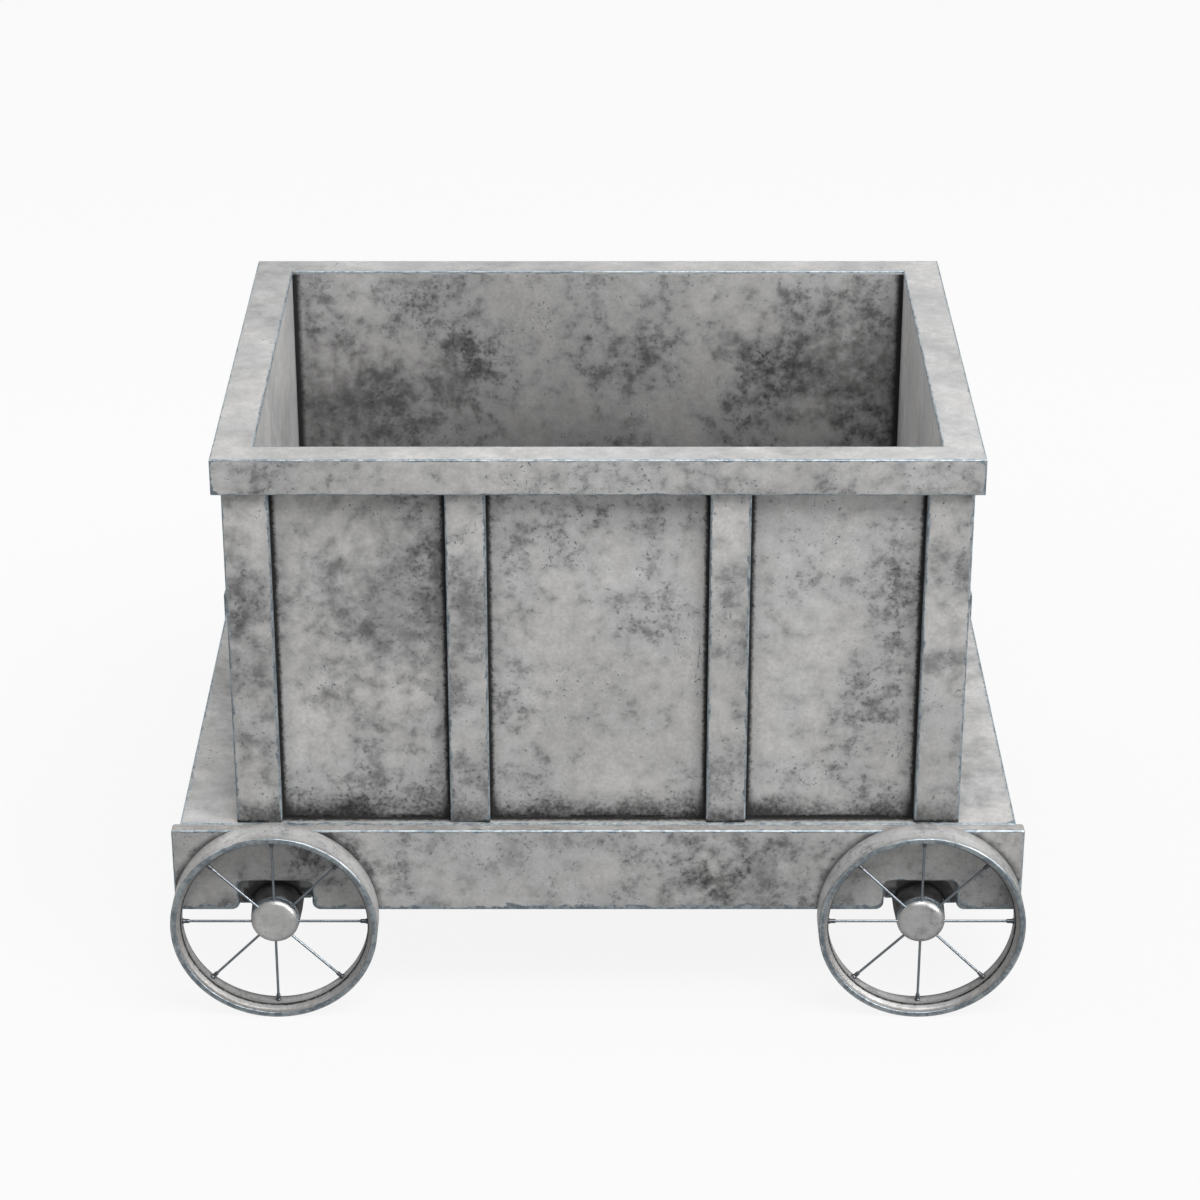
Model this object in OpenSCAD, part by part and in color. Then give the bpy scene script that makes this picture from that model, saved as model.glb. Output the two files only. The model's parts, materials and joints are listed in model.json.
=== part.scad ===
// Four-wheeled mine cart: an open steel tub on a flat deck, carried by two turning wheelsets.
// X runs along the cart, Y across it, Z up. The origin is on the ground at the cart's centre.
// Front is +X and left is +Y.

/* [Tub] */
// Inside length of the tub
tub_inner_l = 956; // [800:1:1000]
// Inside width of the tub
tub_inner_w = 690; // [560:1:690]
// Thickness of the two long walls
long_wall_t = 19; // [8:0.5:24]
// Thickness of the two end walls
end_wall_t = 28.5; // [12:0.5:32]
// Thickness of the posts that stand proud of the walls
post_t = 16; // [8:0.5:20]
// Width of each leg of a corner post
corner_post_w = 65; // [40:1:90]
// Width of a middle post
middle_post_w = 57; // [30:1:80]
// Distance from the centre to a middle post's centre line
middle_post_x = 184.8; // [120:0.1:240]
// Thickness of the tub floor
floor_t = 8; // [4:1:20]

/* [Top rail] */
// Height of the cart over the top rail
cart_h = 864; // [700:1:1000]
// Height of the top rail's outer face
rail_h = 53.7; // [40:0.1:80]
// Overhang of the top rail past the posts
rail_lip = 12.6; // [4:0.1:20]
// Sheet thickness of the top rail
rail_wall = 5; // [3:0.5:8]

/* [Underframe] */
// Half length of the deck
deck_half_l = 605.5; // [580:0.5:640]
// Height of the deck's top face above the ground
deck_top = 285.6; // [260:0.1:320]
// Thickness of the deck plate
deck_t = 12; // [6:1:16]
// Half length of the side beams
beam_half_l = 616.5; // [600:0.5:650]
// Thickness of the side beams
beam_t = 20; // [10:1:24]
// Height of the side beams
beam_h = 132.3; // [110:0.1:150]
// Width of the notch over each axle
notch_w = 106; // [90:1:130]
// Height of the notch over each axle
notch_h = 48.2; // [40:0.1:60]
// Radius of the notch's upper corners
notch_top_r = 9; // [4:1:14]
// Radius of the beam's lower corners beside the notch
notch_foot_r = 12; // [4:1:16]
// Thickness of the sole bars behind the side beams
sole_t = 20; // [12:1:24]

/* [Wheels] */
// Diameter of a wheel
wheel_d = 300; // [280:1:310]
// Width of a wheel rim
rim_w = 46.2; // [36:0.2:47]
// Distance from the centre to each axle
axle_x = 469.4; // [440:0.2:490]
// Distance from the centre to a wheel's middle plane
wheel_y = 430; // [429.6:0.2:434]
// Thickness of the rim at its two edges
rim_edge_t = 8; // [5:0.5:10]
// Thickness of the rim at its raised middle
rim_bed_t = 15; // [11:0.5:18]
// Radius of the hub
hub_r = 35; // [30:0.5:40]
// Number of spokes in a wheel
spokes_n = 8; // [6:1:12]
// Diameter of a spoke
spoke_d = 3.8; // [3:0.1:6]

/* [Axles and bearings] */
// Radius of an axle's journals
journal_r = 16; // [12:0.5:18]
// Radius of an axle's wheel seats
seat_r = 12; // [9:0.5:14]
// Radius of a bearing bush
bush_r = 22; // [19:0.5:26]
// Running clearance between journal and bush
running_gap = 0.05; // [0.02:0.01:0.1]
// Radius of a bearing housing at its root
housing_r = 37; // [32:0.5:40]

/* [Hidden] */

// Number of facets used to draw round faces
$fn = 96;
// Overshoot that carries a cut clear of a face
cut = 1;

// Signs of the two ends and the two sides
front = 1;
rear = -1;
left = 1;
right = -1;

// Faces of the tub, measured from the centre
inner_x = tub_inner_l / 2;
inner_y = tub_inner_w / 2;
wall_x = inner_x + end_wall_t;
wall_y = inner_y + long_wall_t;
post_x = wall_x + post_t;
post_y = wall_y + post_t;
rail_x = post_x + rail_lip;
rail_y = post_y + rail_lip;
rail_bottom = cart_h - rail_h;
wall_top = cart_h - rail_wall;

// Faces of the underframe
deck_bottom = deck_top - deck_t;
deck_margin = 4;
beam_inner = post_y + deck_margin;
beam_outer = beam_inner + beam_t;
beam_bottom = deck_top - beam_h;
beam_corner_r = 4;
sole_inner = beam_inner - sole_t;
sole_step = 10;
sill_t = 12;
sill_h = 100;
sole_half_l = deck_half_l - sill_t;
member_x = 232;
member_w = 40;
member_h = 70;
member_t = 6;

// Wheels and bearings
wheel_r = wheel_d / 2;
rim_inner = wheel_y - rim_w / 2;
bed_half_w = 11;
bed_slope = 5;
hub_t = 6;
hub_back = wheel_y - hub_t;
hub_cap_t = 7;
hub_face = wheel_y + hub_cap_t;
hub_cap_skin = 3;
hub_round_w = 11;
hub_straight = 2;
hub_round_steps = 6;
seat_end = hub_face - hub_cap_skin;
hub_gap = 1;
housing_face = hub_back - hub_gap;
housing_inboard = 33;
housing_back = sole_inner - housing_inboard;
housing_taper = 1.5;
housing_nose_r = housing_r - housing_taper;
housing_nose_chamfer = 1.5;
housing_fit = 0.3;
pad_w = 96;
pad_t = 14;
pad_top = deck_bottom - 3;
rib_w = 16;
rib_low = 30;
collar_r = 24;
collar_w = 12;
collar_gap = 1;
spoke_root_depth = 14;
spoke_root_r = hub_r - spoke_root_depth;
nipple_l = 11;
nipple_foot_r = 4;
nipple_foot_l = 4;
nipple_tip_r = 2.7;
bed_r = wheel_r - rim_bed_t;
nipple_gap = 0.1;
nipple_seat_r = bed_r - nipple_gap;

// Fasteners
bolt_r = 6;
bolt_hex_r = 11;
bolt_head_h = 7.5;
washer_r = 12;
washer_t = 2.5;
bolt_dx = 34;
bolt_low = 62;
bolt_pitch = 40;
tread_bolt_r = 5;
countersunk_r = 10;
countersunk_h = countersunk_r - tread_bolt_r;
bolt_tail = 2;
nut_r = 9.5;
nut_h = 8;
floor_bolt_x = [-330, 0, 330];
floor_bolt_y = 220;

// Colours
zinc = [0.62, 0.62, 0.61];
zinc_dark = [0.50, 0.51, 0.51];
steel_dark = [0.30, 0.32, 0.34];
iron = [0.26, 0.26, 0.26];
bronze = [0.66, 0.50, 0.30];

// A box from its lowest corner to its highest corner
module block(low, high) {
    translate(low)
        cube(high - low);
}

// Turns a shape drawn about +Z to lie along +Y or -Y, for the left or the right side
module along_y(side) {
    rotate([side == left ? -90 : 90, 0, 0])
        children();
}

// Places a shape at one end of the cart, mirrored for the rear end
module at_end(end) {
    mirror([end == rear ? 1 : 0, 0, 0])
        children();
}

// Places a shape at one side of the cart, mirrored for the right side
module at_side(side) {
    mirror([0, side == right ? 1 : 0, 0])
        children();
}

// ---------- underframe ----------

module deck_plate() {
    color(zinc)
        difference() {
            block([-deck_half_l, -beam_inner, deck_bottom], [deck_half_l, beam_inner, deck_top]);
            floor_bolt_places()
                translate([0, 0, deck_bottom - cut])
                    cylinder(r = tread_bolt_r, h = deck_t + 2 * cut);
        }
}

// Outline of the notch over an axle, rounded at the top and flared at the foot
module notch_outline() {
    top = beam_bottom + notch_h;
    half_w = notch_w / 2;
    difference() {
        union() {
            translate([-half_w, beam_bottom - cut])
                square([notch_w, notch_h + cut - notch_top_r]);
            translate([notch_top_r - half_w, beam_bottom])
                square([notch_w - 2 * notch_top_r, notch_h]);
            for (s = [-1, 1])
                translate([s * (half_w - notch_top_r), top - notch_top_r])
                    circle(r = notch_top_r);
            translate([-half_w - notch_foot_r, beam_bottom - cut])
                square([notch_w + 2 * notch_foot_r, notch_foot_r + cut]);
        }
        for (s = [-1, 1])
            translate([s * (half_w + notch_foot_r), beam_bottom + notch_foot_r])
                circle(r = notch_foot_r);
    }
}

module beam_outline() {
    difference() {
        union() {
            translate([-beam_half_l, beam_bottom + beam_corner_r])
                square([2 * beam_half_l, beam_h - 2 * beam_corner_r]);
            translate([beam_corner_r - beam_half_l, beam_bottom])
                square([2 * (beam_half_l - beam_corner_r), beam_h]);
            for (s = [-1, 1], z = [beam_bottom + beam_corner_r, deck_top - beam_corner_r])
                translate([s * (beam_half_l - beam_corner_r), z])
                    circle(r = beam_corner_r);
        }
        for (s = [-1, 1])
            translate([s * axle_x, 0])
                notch_outline();
    }
}

module side_beam(side) {
    color(zinc)
        at_side(side)
            translate([0, beam_outer, 0])
                rotate([90, 0, 0])
                    linear_extrude(height = beam_t)
                        beam_outline();
}

module sole_bar(side) {
    color(zinc_dark)
        at_side(side)
            difference() {
                union() {
                    block([-axle_x, sole_inner, beam_bottom + sole_step], [axle_x, beam_inner, deck_bottom]);
                    for (end = [front, rear])
                        at_end(end)
                            block([axle_x, sole_inner, beam_bottom], [sole_half_l, beam_inner, deck_bottom]);
                }
                for (end = [front, rear])
                    translate([end * axle_x, sole_inner - cut, wheel_r])
                        along_y(left)
                            cylinder(r = housing_r + housing_fit, h = sole_t + 2 * cut);
                housing_bolt_places()
                    translate([0, sole_inner - cut, 0])
                        along_y(left)
                            cylinder(r = bolt_r, h = sole_t + 2 * cut);
            }
}

module end_sill(end) {
    color(zinc)
        at_end(end)
            block([sole_half_l, -beam_inner, deck_bottom - sill_h], [deck_half_l, beam_inner, deck_bottom]);
}

// A channel between the sole bars, open towards the middle of the cart
module cross_member(end) {
    low = deck_bottom - member_h;
    color(zinc_dark)
        at_end(end)
            difference() {
                block([member_x, -sole_inner, low], [member_x + member_w, sole_inner, deck_bottom]);
                block(
                    [member_x - cut, -sole_inner - cut, low + member_t],
                    [member_x + member_w - member_t, sole_inner + cut, deck_bottom - member_t]
                );
            }
}

// ---------- tub ----------

module floor_bolt_places() {
    for (x = floor_bolt_x, y = [-floor_bolt_y, floor_bolt_y])
        translate([x, y, 0])
            children();
}

module tub_floor() {
    color(zinc_dark)
        difference() {
            block([-inner_x, -inner_y, deck_top], [inner_x, inner_y, deck_top + floor_t]);
            floor_bolt_places() {
                translate([0, 0, deck_top - cut])
                    cylinder(r = tread_bolt_r, h = floor_t + 2 * cut);
                translate([0, 0, deck_top + floor_t - countersunk_h])
                    cylinder(r1 = tread_bolt_r, r2 = countersunk_r + cut, h = countersunk_h + cut);
            }
        }
}

module long_wall(side) {
    color(zinc)
        at_side(side)
            block([-wall_x, inner_y, deck_top], [wall_x, wall_y, wall_top]);
}

module end_wall(end) {
    color(zinc)
        at_end(end)
            block([inner_x, -inner_y, deck_top], [wall_x, inner_y, wall_top]);
}

// An angle post that wraps round a corner of the tub
module corner_post(end, side) {
    color(zinc)
        at_end(end)
            at_side(side)
                difference() {
                    block([post_x - corner_post_w, post_y - corner_post_w, deck_top], [post_x, post_y, rail_bottom]);
                    block(
                        [post_x - corner_post_w - cut, post_y - corner_post_w - cut, deck_top - cut],
                        [wall_x, wall_y, rail_bottom + cut]
                    );
                }
}

module long_side_middle_post(side, end) {
    color(zinc)
        at_side(side)
            translate([end * middle_post_x, 0, 0])
                block([-middle_post_w / 2, wall_y, deck_top], [middle_post_w / 2, post_y, rail_bottom]);
}

module end_middle_post(end) {
    color(zinc)
        at_end(end)
            block([wall_x, -middle_post_w / 2, deck_top], [post_x, middle_post_w / 2, rail_bottom]);
}

// The mitred plan of a rail along X, on the left side
module rail_plan_long() {
    polygon([[-rail_x, rail_y], [-inner_x, inner_y], [inner_x, inner_y], [rail_x, rail_y]]);
}

// The mitred plan of a rail along Y, at the front end
module rail_plan_end() {
    polygon([[rail_x, -rail_y], [inner_x, -inner_y], [inner_x, inner_y], [rail_x, rail_y]]);
}

// Space that the tub's walls take up inside the rails
module wall_space() {
    block([-wall_x, -wall_y, rail_bottom - cut], [wall_x, wall_y, wall_top]);
}

// A folded rail: its top covers the wall's edge, its skirt hangs outside the posts
module long_top_rail(side) {
    color(zinc)
        at_side(side)
            difference() {
                translate([0, 0, rail_bottom])
                    linear_extrude(height = rail_h)
                        rail_plan_long();
                block(
                    [-rail_x - cut, inner_y - cut, rail_bottom + rail_wall],
                    [rail_x + cut, rail_y - rail_wall, wall_top]
                );
                wall_space();
            }
}

module end_top_rail(end) {
    color(zinc)
        at_end(end)
            difference() {
                translate([0, 0, rail_bottom])
                    linear_extrude(height = rail_h)
                        rail_plan_end();
                block(
                    [inner_x - cut, -rail_y - cut, rail_bottom + rail_wall],
                    [rail_x - rail_wall, rail_y + cut, wall_top]
                );
                wall_space();
            }
}

// ---------- bearings ----------

// Barrel of a bearing housing, drawn along +Z from its inner end
module housing_barrel() {
    length = housing_face - housing_back;
    root = beam_inner - housing_back;
    rotate_extrude()
        polygon([
            [bush_r, 0],
            [housing_r, 0],
            [housing_r, root],
            [housing_nose_r, length - housing_nose_chamfer],
            [housing_nose_r - housing_nose_chamfer, length],
            [bush_r, length]
        ]);
}

// A bearing housing: barrel, bolting pad behind the sole bar, and a rib between them
module bearing_housing(end, side) {
    color(iron)
        at_side(side)
            translate([end * axle_x, 0, 0])
                difference() {
                    union() {
                        translate([0, housing_back, wheel_r])
                            along_y(left)
                                housing_barrel();
                        difference() {
                            union() {
                                block([-pad_w / 2, sole_inner - pad_t, wheel_r], [pad_w / 2, sole_inner, pad_top]);
                                housing_rib();
                            }
                            translate([0, housing_back - cut, wheel_r])
                                along_y(left)
                                    cylinder(r = bush_r + cut, h = housing_face - housing_back + 2 * cut);
                        }
                    }
                    for (dx = [-bolt_dx, bolt_dx], z = [0, bolt_pitch])
                        translate([dx, sole_inner - pad_t - cut, wheel_r + bolt_low + z])
                            along_y(left)
                                cylinder(r = bolt_r, h = pad_t + 2 * cut);
                }
}

// Triangular rib that stands on the barrel and braces the pad
module housing_rib() {
    translate([-rib_w / 2, 0, 0])
        rotate([90, 0, 90])
            linear_extrude(height = rib_w)
                polygon([
                    [housing_back, wheel_r + rib_low],
                    [sole_inner - pad_t, wheel_r + rib_low],
                    [sole_inner - pad_t, pad_top]
                ]);
}

module bush(end, side) {
    color(bronze)
        at_side(side)
            translate([end * axle_x, housing_back, wheel_r])
                along_y(left)
                    difference() {
                        cylinder(r = bush_r, h = housing_face - housing_back);
                        translate([0, 0, -cut])
                            cylinder(r = journal_r + running_gap, h = housing_face - housing_back + 2 * cut);
                    }
}

// The bolt axes of the two housings on the left side
module housing_bolt_places() {
    for (end = [front, rear], dx = [-bolt_dx, bolt_dx], z = [0, bolt_pitch])
        translate([end * axle_x + dx, 0, wheel_r + bolt_low + z])
            children();
}

module housing_bolt() {
    translate([0, sole_inner - pad_t, 0])
        along_y(left)
            union() {
                cylinder(r = bolt_r, h = pad_t + sole_t);
                translate([0, 0, -washer_t])
                    cylinder(r = washer_r, h = washer_t);
                translate([0, 0, -washer_t - bolt_head_h])
                    cylinder(r = bolt_hex_r, h = bolt_head_h, $fn = 6);
            }
}

module housing_bolts() {
    color(steel_dark)
        for (side = [left, right])
            at_side(side)
                housing_bolt_places()
                    housing_bolt();
}

// A countersunk bolt through the tub floor and the deck, flush with the floor
module floor_bolt() {
    shank = deck_t + floor_t + nut_h + bolt_tail;
    top = deck_top + floor_t;
    translate([0, 0, top - shank])
        cylinder(r = tread_bolt_r, h = shank);
    translate([0, 0, top - countersunk_h])
        cylinder(r1 = tread_bolt_r, r2 = countersunk_r, h = countersunk_h);
}

module floor_bolts() {
    color(steel_dark)
        floor_bolt_places()
            floor_bolt();
}

module floor_nuts() {
    color(steel_dark)
        floor_bolt_places()
            translate([0, 0, deck_bottom - nut_h])
                difference() {
                    cylinder(r = nut_r, h = nut_h, $fn = 6);
                    translate([0, 0, -cut])
                        cylinder(r = tread_bolt_r, h = nut_h + 2 * cut);
                }
}

// ---------- wheelsets ----------

module axle(end) {
    color(steel_dark)
        translate([end * axle_x, -hub_back, wheel_r])
            along_y(left)
                union() {
                    cylinder(r = journal_r, h = 2 * hub_back);
                    translate([0, 0, hub_back - seat_end])
                        cylinder(r = seat_r, h = 2 * seat_end);
                }
}

module axle_collars(end) {
    color(steel_dark)
        for (side = [left, right])
            at_side(side)
                translate([end * axle_x, housing_back - collar_gap - collar_w, wheel_r])
                    along_y(left)
                        difference() {
                            cylinder(r = collar_r, h = collar_w);
                            translate([0, 0, -cut])
                                cylinder(r = journal_r, h = collar_w + 2 * cut);
                        }
}

// Rim section: a flat tread outside and a raised bed for the spokes inside
module rim_profile() {
    edge_r = wheel_r - rim_edge_t;
    half_w = rim_w / 2;
    polygon([
        [edge_r, -half_w],
        [wheel_r, -half_w],
        [wheel_r, half_w],
        [edge_r, half_w],
        [edge_r, bed_half_w + bed_slope],
        [bed_r, bed_half_w],
        [bed_r, -bed_half_w],
        [edge_r, -bed_half_w - bed_slope]
    ]);
}

module rim(end, side) {
    color(zinc)
        at_side(side)
            translate([end * axle_x, wheel_y, wheel_r])
                along_y(left)
                    rotate_extrude()
                        rim_profile();
}

// The spoke axes of one wheel, each along +Z of its own place, at the wheel's centre
module spoke_places(end, side) {
    at_side(side)
        translate([end * axle_x, wheel_y, wheel_r])
            for (i = [0 : spokes_n - 1])
                rotate([0, i * 360 / spokes_n, 0])
                    children();
}

module spoke() {
    translate([0, 0, spoke_root_r])
        cylinder(d = spoke_d, h = nipple_seat_r - spoke_root_r);
}

module hub(end, side) {
    color(zinc)
        difference() {
            at_side(side)
                translate([end * axle_x, hub_back, wheel_r])
                    along_y(left)
                        difference() {
                            cylinder(r = hub_r, h = wheel_y - hub_back);
                            translate([0, 0, -cut])
                                cylinder(r = seat_r, h = wheel_y - hub_back + 2 * cut);
                        }
            spoke_places(end, side)
                spoke();
        }
}

// The front half of the hub: it clamps the spokes and hides the axle end
module hub_cap(end, side) {
    flat_r = hub_r - hub_round_w;
    height = hub_face - wheel_y;
    drop = height - hub_straight;
    round_edge = [
        for (i = [0 : hub_round_steps])
            [
                flat_r + hub_round_w * cos(i * 90 / hub_round_steps),
                hub_straight + drop * sin(i * 90 / hub_round_steps)
            ]
    ];
    color(zinc)
        difference() {
            at_side(side)
                translate([end * axle_x, wheel_y, wheel_r])
                    along_y(left)
                        difference() {
                            rotate_extrude()
                                polygon(concat([[0, 0], [hub_r, 0]], round_edge, [[0, height]]));
                            translate([0, 0, -cut])
                                cylinder(r = seat_r, h = seat_end - wheel_y + cut);
                        }
            spoke_places(end, side)
                spoke();
        }
}

module spokes(end) {
    color(steel_dark)
        for (side = [left, right])
            spoke_places(end, side)
                spoke();
}

module nipples(end) {
    color(steel_dark)
        for (side = [left, right])
            spoke_places(end, side)
                translate([0, 0, nipple_seat_r - nipple_l])
                    rotate_extrude()
                        polygon([
                            [spoke_d / 2, 0],
                            [nipple_tip_r, 0],
                            [nipple_foot_r, nipple_l - nipple_foot_l],
                            [nipple_foot_r, nipple_l],
                            [spoke_d / 2, nipple_l]
                        ]);
}

deck_plate();
side_beam(right);  // right_side_beam
side_beam(left);  // left_side_beam
sole_bar(right);  // right_sole_bar
sole_bar(left);  // left_sole_bar
end_sill(front);  // front_end_sill
end_sill(rear);  // rear_end_sill
cross_member(front);  // front_cross_member
cross_member(rear);  // rear_cross_member
tub_floor();
long_wall(right);  // right_wall
long_wall(left);  // left_wall
end_wall(front);  // front_wall
end_wall(rear);  // rear_wall
corner_post(front, right);  // front_right_corner_post
corner_post(front, left);  // front_left_corner_post
corner_post(rear, right);  // rear_right_corner_post
corner_post(rear, left);  // rear_left_corner_post
long_side_middle_post(right, front);  // right_front_middle_post
long_side_middle_post(right, rear);  // right_rear_middle_post
long_side_middle_post(left, front);  // left_front_middle_post
long_side_middle_post(left, rear);  // left_rear_middle_post
end_middle_post(front);  // front_middle_post
end_middle_post(rear);  // rear_middle_post
long_top_rail(right);  // right_top_rail
long_top_rail(left);  // left_top_rail
end_top_rail(front);  // front_top_rail
end_top_rail(rear);  // rear_top_rail
bearing_housing(front, right);  // front_right_bearing_housing
bearing_housing(front, left);  // front_left_bearing_housing
bearing_housing(rear, right);  // rear_right_bearing_housing
bearing_housing(rear, left);  // rear_left_bearing_housing
bush(front, right);  // front_right_bush
bush(front, left);  // front_left_bush
bush(rear, right);  // rear_right_bush
bush(rear, left);  // rear_left_bush
housing_bolts();
floor_bolts();
floor_nuts();
axle(front);  // front_axle
axle(rear);  // rear_axle
axle_collars(front);  // front_axle_collars
axle_collars(rear);  // rear_axle_collars
rim(front, right);  // front_right_rim
rim(front, left);  // front_left_rim
rim(rear, right);  // rear_right_rim
rim(rear, left);  // rear_left_rim
hub(front, right);  // front_right_hub
hub(front, left);  // front_left_hub
hub(rear, right);  // rear_right_hub
hub(rear, left);  // rear_left_hub
hub_cap(front, right);  // front_right_hub_cap
hub_cap(front, left);  // front_left_hub_cap
hub_cap(rear, right);  // rear_right_hub_cap
hub_cap(rear, left);  // rear_left_hub_cap
spokes(front);  // front_spokes
spokes(rear);  // rear_spokes
nipples(front);  // front_nipples
nipples(rear);  // rear_nipples
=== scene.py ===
"""Looks for the mine cart: aged galvanised plates and spoked wheels, on a pale studio floor."""

import json
import math

import bmesh
import bpy
import numpy as np
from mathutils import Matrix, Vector
from mathutils.bvhtree import BVHTree


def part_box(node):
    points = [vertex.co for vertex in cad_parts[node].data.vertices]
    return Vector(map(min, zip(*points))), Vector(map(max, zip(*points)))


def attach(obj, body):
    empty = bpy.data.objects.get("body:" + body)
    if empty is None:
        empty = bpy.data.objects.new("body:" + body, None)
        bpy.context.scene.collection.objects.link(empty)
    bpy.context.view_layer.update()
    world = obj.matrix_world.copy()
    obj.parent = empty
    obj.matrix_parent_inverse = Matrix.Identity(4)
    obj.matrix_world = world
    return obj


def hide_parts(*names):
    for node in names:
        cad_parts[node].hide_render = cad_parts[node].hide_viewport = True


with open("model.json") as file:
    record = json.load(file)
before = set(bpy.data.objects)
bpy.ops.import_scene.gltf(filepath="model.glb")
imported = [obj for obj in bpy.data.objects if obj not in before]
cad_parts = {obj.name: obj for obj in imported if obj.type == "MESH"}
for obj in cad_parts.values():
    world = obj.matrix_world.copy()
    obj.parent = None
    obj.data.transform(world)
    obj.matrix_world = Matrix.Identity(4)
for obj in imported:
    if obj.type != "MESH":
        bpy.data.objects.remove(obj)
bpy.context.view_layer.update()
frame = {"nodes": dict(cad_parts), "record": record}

MM = 0.001
NEAR = 1 * MM  # how close still counts as touching
ENDS = ("front", "rear")
SIDES = {"left": 1, "right": -1}
WHEELS = [(end, side) for end in ENDS for side in SIDES]
BODY_OF = {n: body for body, names in frame["record"]["behaviour"]["bodies"].items() for n in names}
SLOT_OF = {part["node"]: part["material_slot"] for part in frame["record"]["subparts"]}
BOXES = {n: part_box(n) for n in frame["nodes"]}

DECK_TOP = BOXES["deck_plate"][1].z
RAIL_BOTTOM = BOXES["front_top_rail"][0].z
BEAM_INSIDE = BOXES["left_side_beam"][0].y
BEAM_FACE = BOXES["left_side_beam"][1].y
WALL_INSIDE = Vector((BOXES["front_wall"][0].x, BOXES["left_wall"][0].y))
RIM_LOW, RIM_HIGH = BOXES["front_left_rim"]
AXLE = (RIM_LOW + RIM_HIGH) / 2
WHEEL_RADIUS = (RIM_HIGH.z - RIM_LOW.z) / 2
NIPPLE_FOOT = 123.9 * MM  # from the axle

# Distances past these say nothing new to the materials
EDGE_REACH = 60 * MM
GAP_REACH = 80 * MM


# ----- camera, lights and floor -----

SENSOR = 36.0
LENS = 104.36
SHIFT_X = 2 / 1200
CAMERA_PLACE = (0.0, -4.776, 2.774)
CAMERA_DOWN = 25.85  # degrees

# Each lamp's place, target, size and power in watts. The gleam shows in reflections only.
LAMPS = {
    "key": ((0.8, -1.9, 4.0), (0.0, 0.0, 0.5), (3.0, 2.0), 170.0),
    "right": ((4.0, -1.2, 2.3), (0.2, 0.0, 0.4), (1.4, 2.2), 32.0),
    "left": ((-3.7, 0.2, 3.0), (-0.2, 0.0, 0.4), (1.2, 1.6), 30.0),
    "gleam": ((3.5, -2.6, 2.05), (0.0, 0.0, 0.15), (1.5, 2.4), 175.0),
}

# The dome's strength at the horizon and overhead, and in reflections from the front and the back
DOME_HORIZON, DOME_ZENITH = 0.80, 0.50
GLOSS_FRONT, GLOSS_BACK = 0.26, 1.15
GLOSS_FRONT_Y, GLOSS_BACK_Y = -0.6, 0.9
WALL_TONE = 0.955

# The floor's own tone, its glow near the key lamp's foot and far from it, and the light that it gives back
FLOOR_HALF = 60.0
FLOOR_SHADE = 0.055
FLOOR_GLOW, FLOOR_FAR_GLOW = 0.888, 0.918
GLOW_CENTRE = (0.5, -1.0, 0.0)
GLOW_NEAR, GLOW_FAR = 0.6, 3.2
FLOOR_BOUNCE = 0.36


def make_camera():
    """The camera looks down at the right side of the cart."""
    data = bpy.data.cameras.new("camera")
    data.sensor_width = SENSOR
    data.lens = LENS
    data.shift_x = SHIFT_X
    camera = bpy.data.objects.new("camera", data)
    camera.location = CAMERA_PLACE
    camera.rotation_euler = (math.radians(90 - CAMERA_DOWN), 0.0, 0.0)
    bpy.context.scene.collection.objects.link(camera)
    bpy.context.scene.camera = camera


def area_light(name, place, target, size, power):
    """A rectangular soft box at place, turned towards target."""
    data = bpy.data.lights.new(name, "AREA")
    data.shape = "RECTANGLE"
    data.size, data.size_y = size
    data.energy = power
    lamp = bpy.data.objects.new(name, data)
    lamp.location = place
    lamp.rotation_euler = (Vector(target) - Vector(place)).to_track_quat("-Z", "Y").to_euler()
    bpy.context.scene.collection.objects.link(lamp)
    return lamp


def ramp_node(tree, value, low, high, to_low, to_high, curve="LINEAR"):
    """Maps value from low..high to to_low..to_high."""
    ramp = tree.nodes.new("ShaderNodeMapRange")
    ramp.interpolation_type = curve
    numbers = {"From Min": low, "From Max": high, "To Min": to_low, "To Max": to_high}
    for socket, number in numbers.items():
        ramp.inputs[socket].default_value = number
    tree.links.new(value, ramp.inputs["Value"])
    return ramp


def shader_mix(tree, factor, first, second):
    """The first shader where factor is 0, and the second where it is 1."""
    mix = tree.nodes.new("ShaderNodeMixShader")
    for socket, output in zip(mix.inputs, (factor, first, second)):
        tree.links.new(output, socket)
    return mix.outputs[0]


def make_world():
    """A soft dome, brighter at the horizon than overhead, that the camera sees as an even pale wall."""
    world = bpy.data.worlds.new("studio")
    bpy.context.scene.world = world
    world.use_nodes = True
    tree = world.node_tree
    tree.nodes.clear()
    path = tree.nodes.new("ShaderNodeLightPath").outputs
    axes = tree.nodes.new("ShaderNodeSeparateXYZ")
    tree.links.new(tree.nodes.new("ShaderNodeTexCoord").outputs["Generated"], axes.inputs[0])
    dome, gloss, wall = (tree.nodes.new("ShaderNodeBackground") for _ in range(3))
    height = ramp_node(tree, axes.outputs["Z"], 0.0, 1.0, DOME_HORIZON, DOME_ZENITH)
    depth = ramp_node(tree, axes.outputs["Y"], GLOSS_FRONT_Y, GLOSS_BACK_Y, GLOSS_FRONT, GLOSS_BACK)
    tree.links.new(height.outputs[0], dome.inputs["Strength"])
    tree.links.new(depth.outputs[0], gloss.inputs["Strength"])
    wall.inputs["Color"].default_value = (WALL_TONE, WALL_TONE, WALL_TONE, 1.0)
    lit = shader_mix(tree, path["Is Glossy Ray"], dome.outputs[0], gloss.outputs[0])
    seen = shader_mix(tree, path["Is Camera Ray"], lit, wall.outputs[0])
    tree.links.new(seen, tree.nodes.new("ShaderNodeOutputWorld").inputs["Surface"])


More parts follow.
